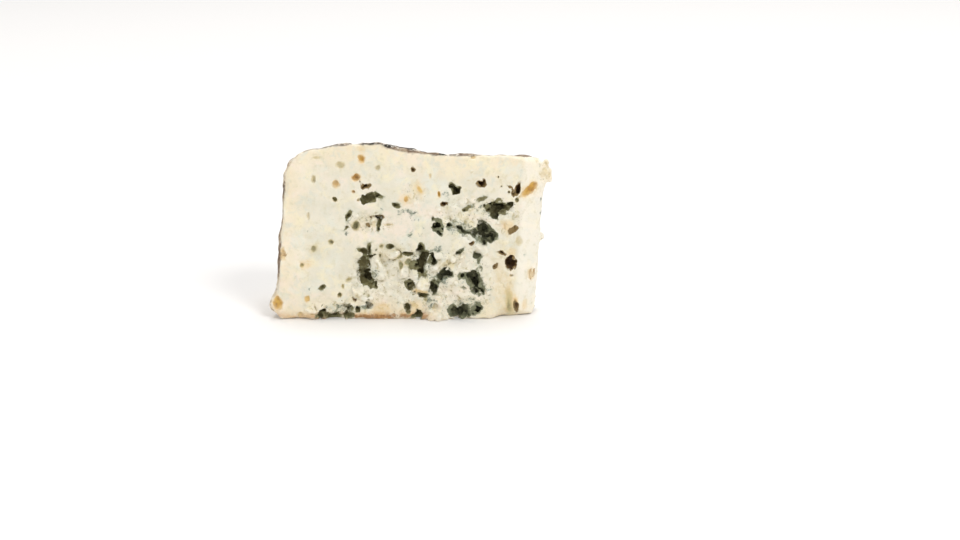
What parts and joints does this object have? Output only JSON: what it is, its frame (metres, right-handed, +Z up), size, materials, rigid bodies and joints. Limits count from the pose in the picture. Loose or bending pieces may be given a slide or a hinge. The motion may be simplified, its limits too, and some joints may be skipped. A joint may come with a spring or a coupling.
{
  "type": "blue cheese wedge",
  "caption": "Wedge of crumbly blue cheese with a mottled rind, two cut faces and open mould pockets, standing on the flat face of the wheel that it was cut from.",
  "frame": {"origin": "middle of the wedge's bounding box, on the surface that the wedge stands on", "axes": "+X from the rind towards the blunt tip, +Y from the front cut face towards the back one, +Z up"},
  "size_m": [0.1295, 0.0481, 0.0805],
  "materials": {
    "paste": "pale ivory cheese paste, moist and softly satin, with blue-green mould in its pockets"
  },
  "bodies": {
    "root": {"cheese": "paste"}
  },
  "joints": []
}
